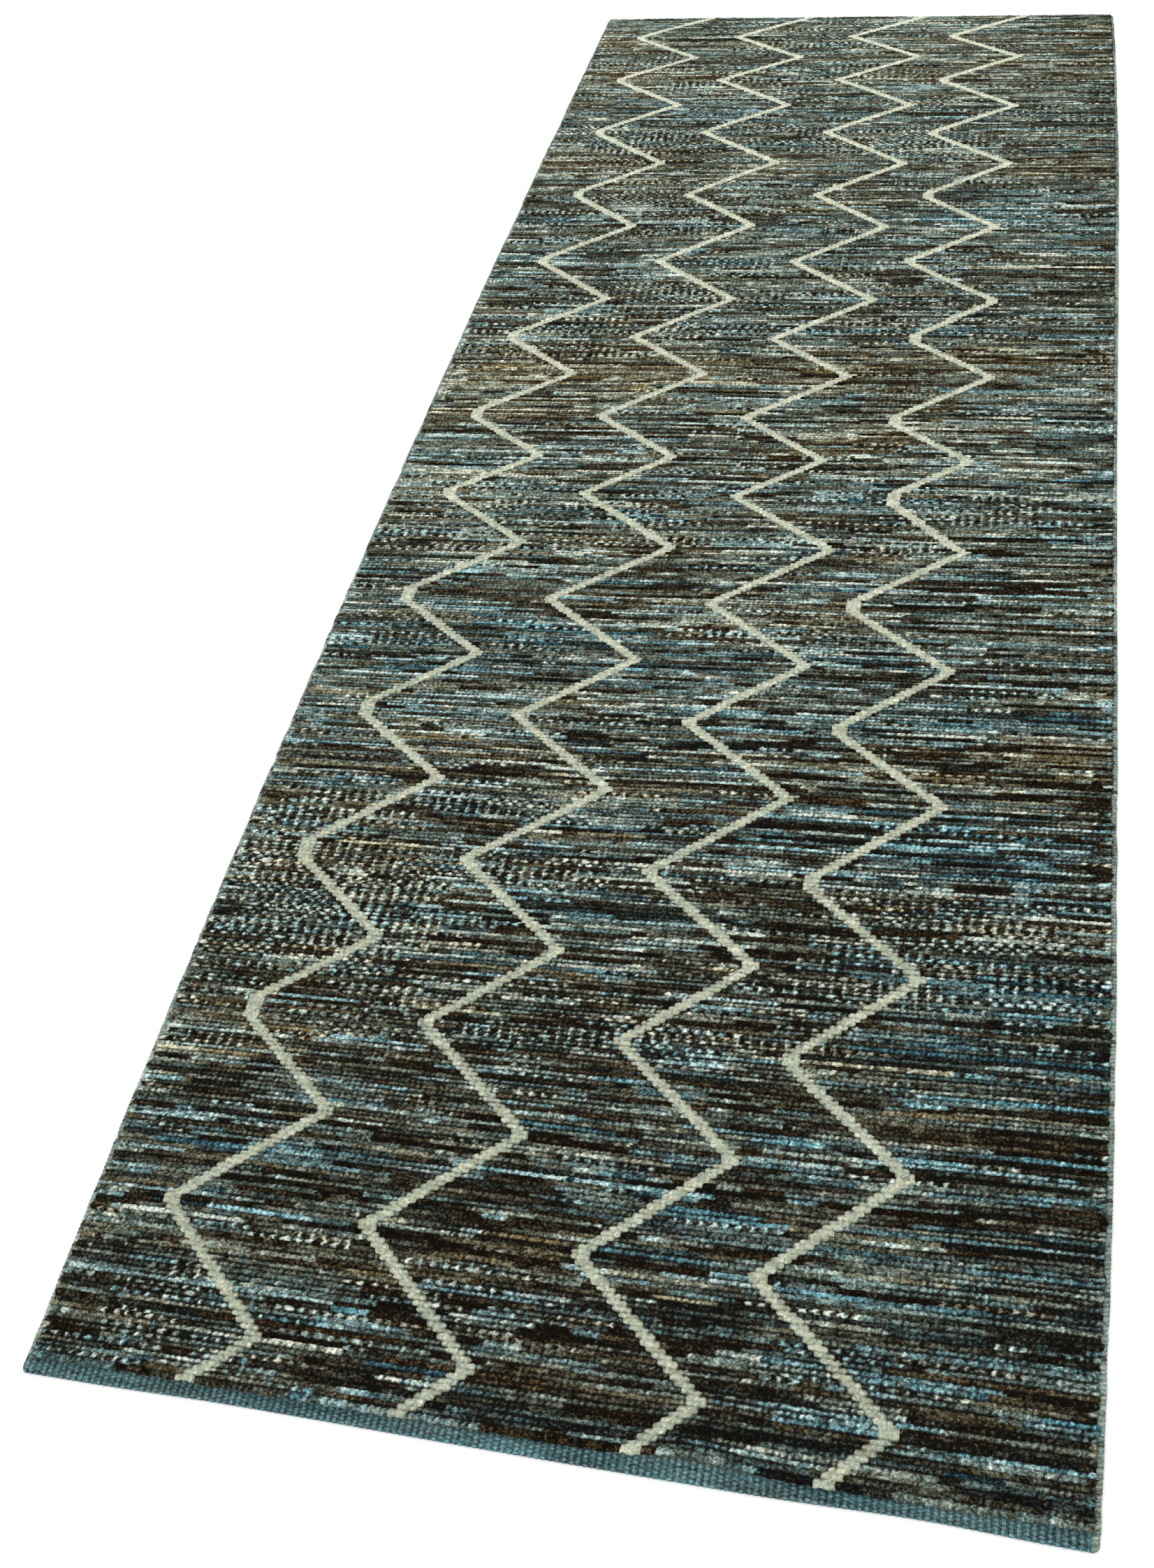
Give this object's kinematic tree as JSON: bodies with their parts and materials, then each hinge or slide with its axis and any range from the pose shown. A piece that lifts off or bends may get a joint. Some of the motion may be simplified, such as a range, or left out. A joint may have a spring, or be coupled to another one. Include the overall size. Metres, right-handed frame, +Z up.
{
  "type": "runner rug",
  "caption": "Long narrow hand-knotted wool runner with a low streaked pile, pale zigzag lines, flat-woven turned-under ends and wrapped sides.",
  "frame": {"origin": "centre of the underside of the rug's bounding box", "axes": "+X across the width, +Y along the length away from the end with the wider flat-woven band, +Z up out of the pile"},
  "size_m": [0.8427, 2.388, 0.009],
  "materials": {
    "foundation_wool": "plain weave of grey-brown wool yarn, matt",
    "field_pile": "cut wool pile streaked in dark brown, charcoal, slate, teal, sky blue and beige, matt with a faint sheen",
    "zigzag_pile": "cut wool pile in undyed ivory, matt with a faint sheen",
    "band_weave": "flat ribbed weave of teal wool, matt",
    "wrapping_yarn": "grey wool yarn wound side by side, matt",
    "core_warps": "bundle of undyed wool warps, matt",
    "hem_thread": "whipped wool sewing thread, matt"
  },
  "bodies": {
    "root": {"foundation_weave": "foundation_wool", "pile_field_1": "field_pile", "pile_field_2": "field_pile", "pile_field_3": "field_pile", "pile_field_4": "field_pile", "pile_field_5": "field_pile", "pile_zigzag_1": "zigzag_pile", "pile_zigzag_2": "zigzag_pile", "pile_zigzag_3": "zigzag_pile", "pile_zigzag_4": "zigzag_pile", "end_band_near": "band_weave", "end_band_far": "band_weave", "hem_stitching_near": "hem_thread", "hem_stitching_far": "hem_thread", "selvedge_wrapping_left": "wrapping_yarn", "selvedge_wrapping_right": "wrapping_yarn", "selvedge_core_left": "core_warps", "selvedge_core_right": "core_warps"}
  },
  "joints": []
}
